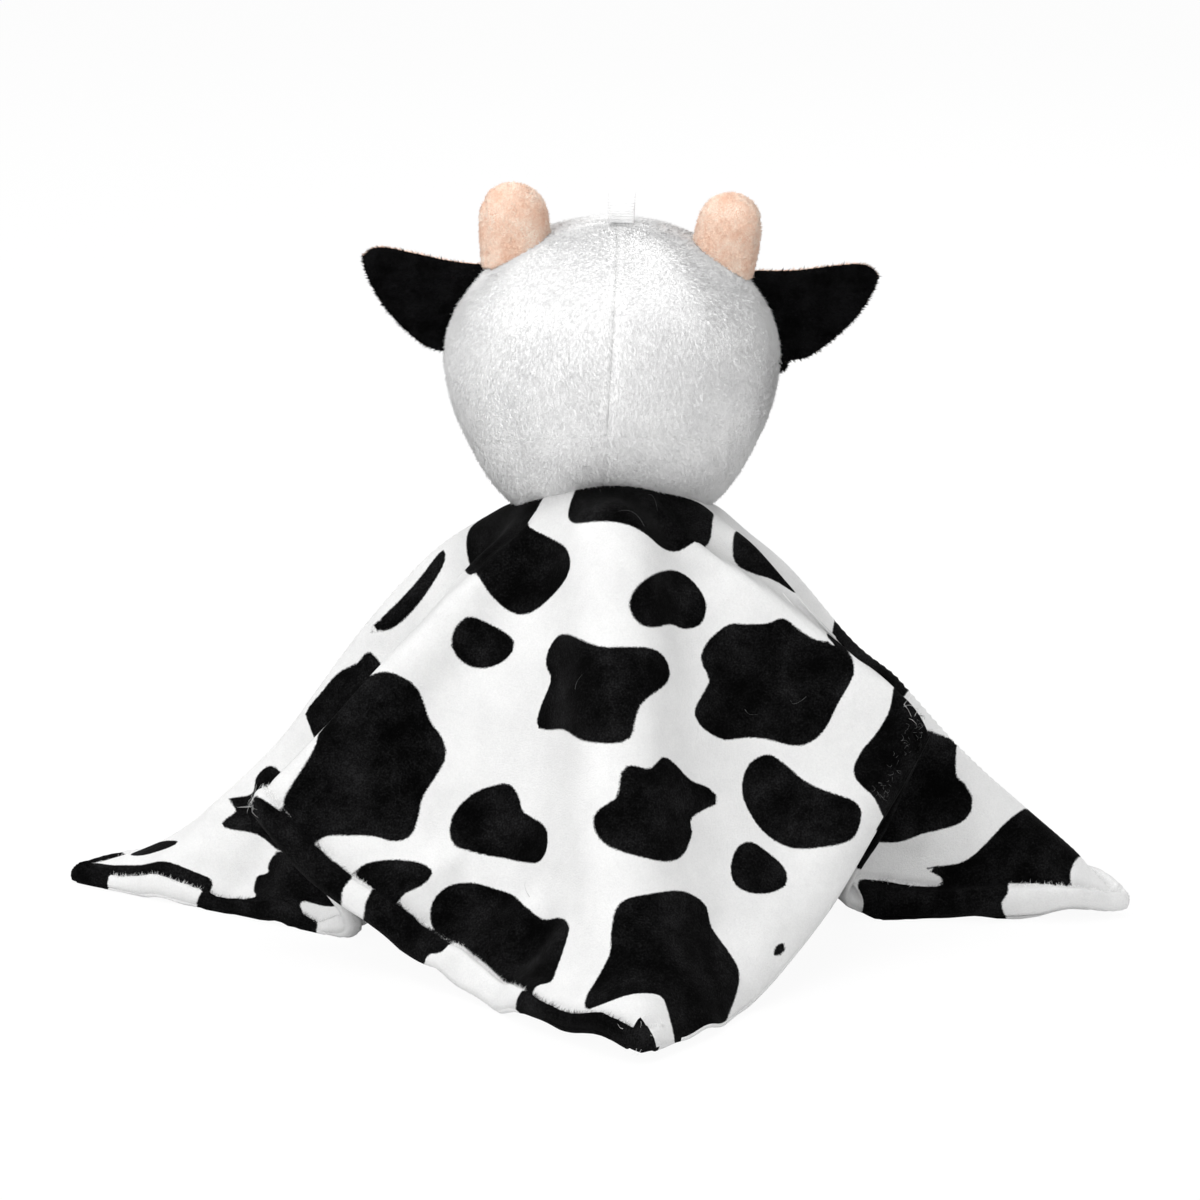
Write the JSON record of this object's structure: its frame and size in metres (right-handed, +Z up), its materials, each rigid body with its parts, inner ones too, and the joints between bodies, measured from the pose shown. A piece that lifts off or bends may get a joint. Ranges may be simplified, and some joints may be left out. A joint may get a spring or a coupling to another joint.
{
  "type": "comfort blanket lovey",
  "caption": "Baby's comfort blanket: a stuffed plush cow's head with horns, ears and a hanging loop, sewn to the middle of a square double-layer cow-print minky blanket.",
  "frame": {"origin": "middle of the toy's outer box in plan, at the level that the blanket's hem stands on", "axes": "+Z up out of the hem's level, +Y the way the face looks, +X to the right of the toy seen from behind"},
  "size_m": [0.3158, 0.2968, 0.212],
  "materials": {
    "cow_print_minky": "short pile, white with black cow spots",
    "lining_minky": "short pile, white with black cow spots",
    "white_plush": "long soft pile",
    "black_plush": "long soft pile",
    "peach_minky": "short pile",
    "polyester_fill": "loose fibre",
    "black_thread": "satin stitch",
    "rose_thread": "satin stitch",
    "white_ribbon": "ribbed grosgrain"
  },
  "bodies": {
    "blanket": {"blanket_top": "cow_print_minky", "blanket_lining": "lining_minky"},
    "neck": {"neck_gather": "white_plush"},
    "neck_core": {"neck_stuffing": "polyester_fill"},
    "head": {"head_stuffing": "polyester_fill", "head_back_left": "white_plush", "head_back_right": "white_plush", "head_face": "white_plush", "eye_patch": "black_plush", "muzzle_cover": "peach_minky", "muzzle_stuffing": "polyester_fill", "eye_left": "black_thread", "eye_right": "black_thread", "nostril_left": "rose_thread", "nostril_right": "rose_thread"},
    "ear_left": {"ear_left_back": "black_plush", "ear_left_front": "peach_minky"},
    "ear_right": {"ear_right_back": "black_plush", "ear_right_front": "peach_minky"},
    "horn_left": {"horn_left_cover": "peach_minky", "horn_left_stuffing": "polyester_fill"},
    "horn_right": {"horn_right_cover": "peach_minky", "horn_right_stuffing": "polyester_fill"},
    "loop": {"hanging_loop": "white_ribbon"}
  },
  "joints": [
    {"name": "head_turn", "type": "hinge", "parent": "blanket", "child": "neck", "pos_m": [0.00551, -0.00011, 0.13116], "axis": [0, 0.2588, 0.9659], "range_deg": [-35, 35], "stiffness_Nm_per_rad": 0.3},
    {"name": "head_tilt", "type": "hinge", "parent": "neck", "child": "neck_core", "pos_m": [0.00551, -0.00011, 0.13116], "axis": [0, 0.9659, -0.2588], "range_deg": [-15, 15], "stiffness_Nm_per_rad": 0.4, "deforming": ["neck_gather"]},
    {"name": "head_nod", "type": "hinge", "parent": "neck_core", "child": "head", "pos_m": [0.00551, -0.00011, 0.13116], "axis": [1, 0, 0], "range_deg": [-15, 15], "stiffness_Nm_per_rad": 0.4, "deforming": ["neck_gather"]},
    {"name": "ear_left_flap", "type": "hinge", "parent": "head", "child": "ear_left", "pos_m": [-0.0412, -0.0071, 0.17735], "axis": [0.4305, 0, 0.9026], "range_deg": [-35, 35], "stiffness_Nm_per_rad": 0.003},
    {"name": "ear_right_flap", "type": "hinge", "parent": "head", "child": "ear_right", "pos_m": [0.0535, -0.0071, 0.17373], "axis": [-0.3305, 0, 0.9438], "range_deg": [-35, 35], "stiffness_Nm_per_rad": 0.003},
    {"name": "horn_left_bend", "type": "hinge", "parent": "head", "child": "horn_left", "pos_m": [-0.02178, -0.0081, 0.19466], "axis": [0.8825, 0, 0.4703], "range_deg": [-8, 8], "stiffness_Nm_per_rad": 0.01},
    {"name": "horn_right_bend", "type": "hinge", "parent": "head", "child": "horn_right", "pos_m": [0.03806, -0.0081, 0.19142], "axis": [0.8174, 0, -0.576], "range_deg": [-8, 8], "stiffness_Nm_per_rad": 0.01},
    {"name": "loop_flop", "type": "hinge", "parent": "head", "child": "loop", "pos_m": [0.0081, -0.0071, 0.2018], "axis": [1, 0, 0], "range_deg": [-35, 35], "stiffness_Nm_per_rad": 0.00002}
  ]
}
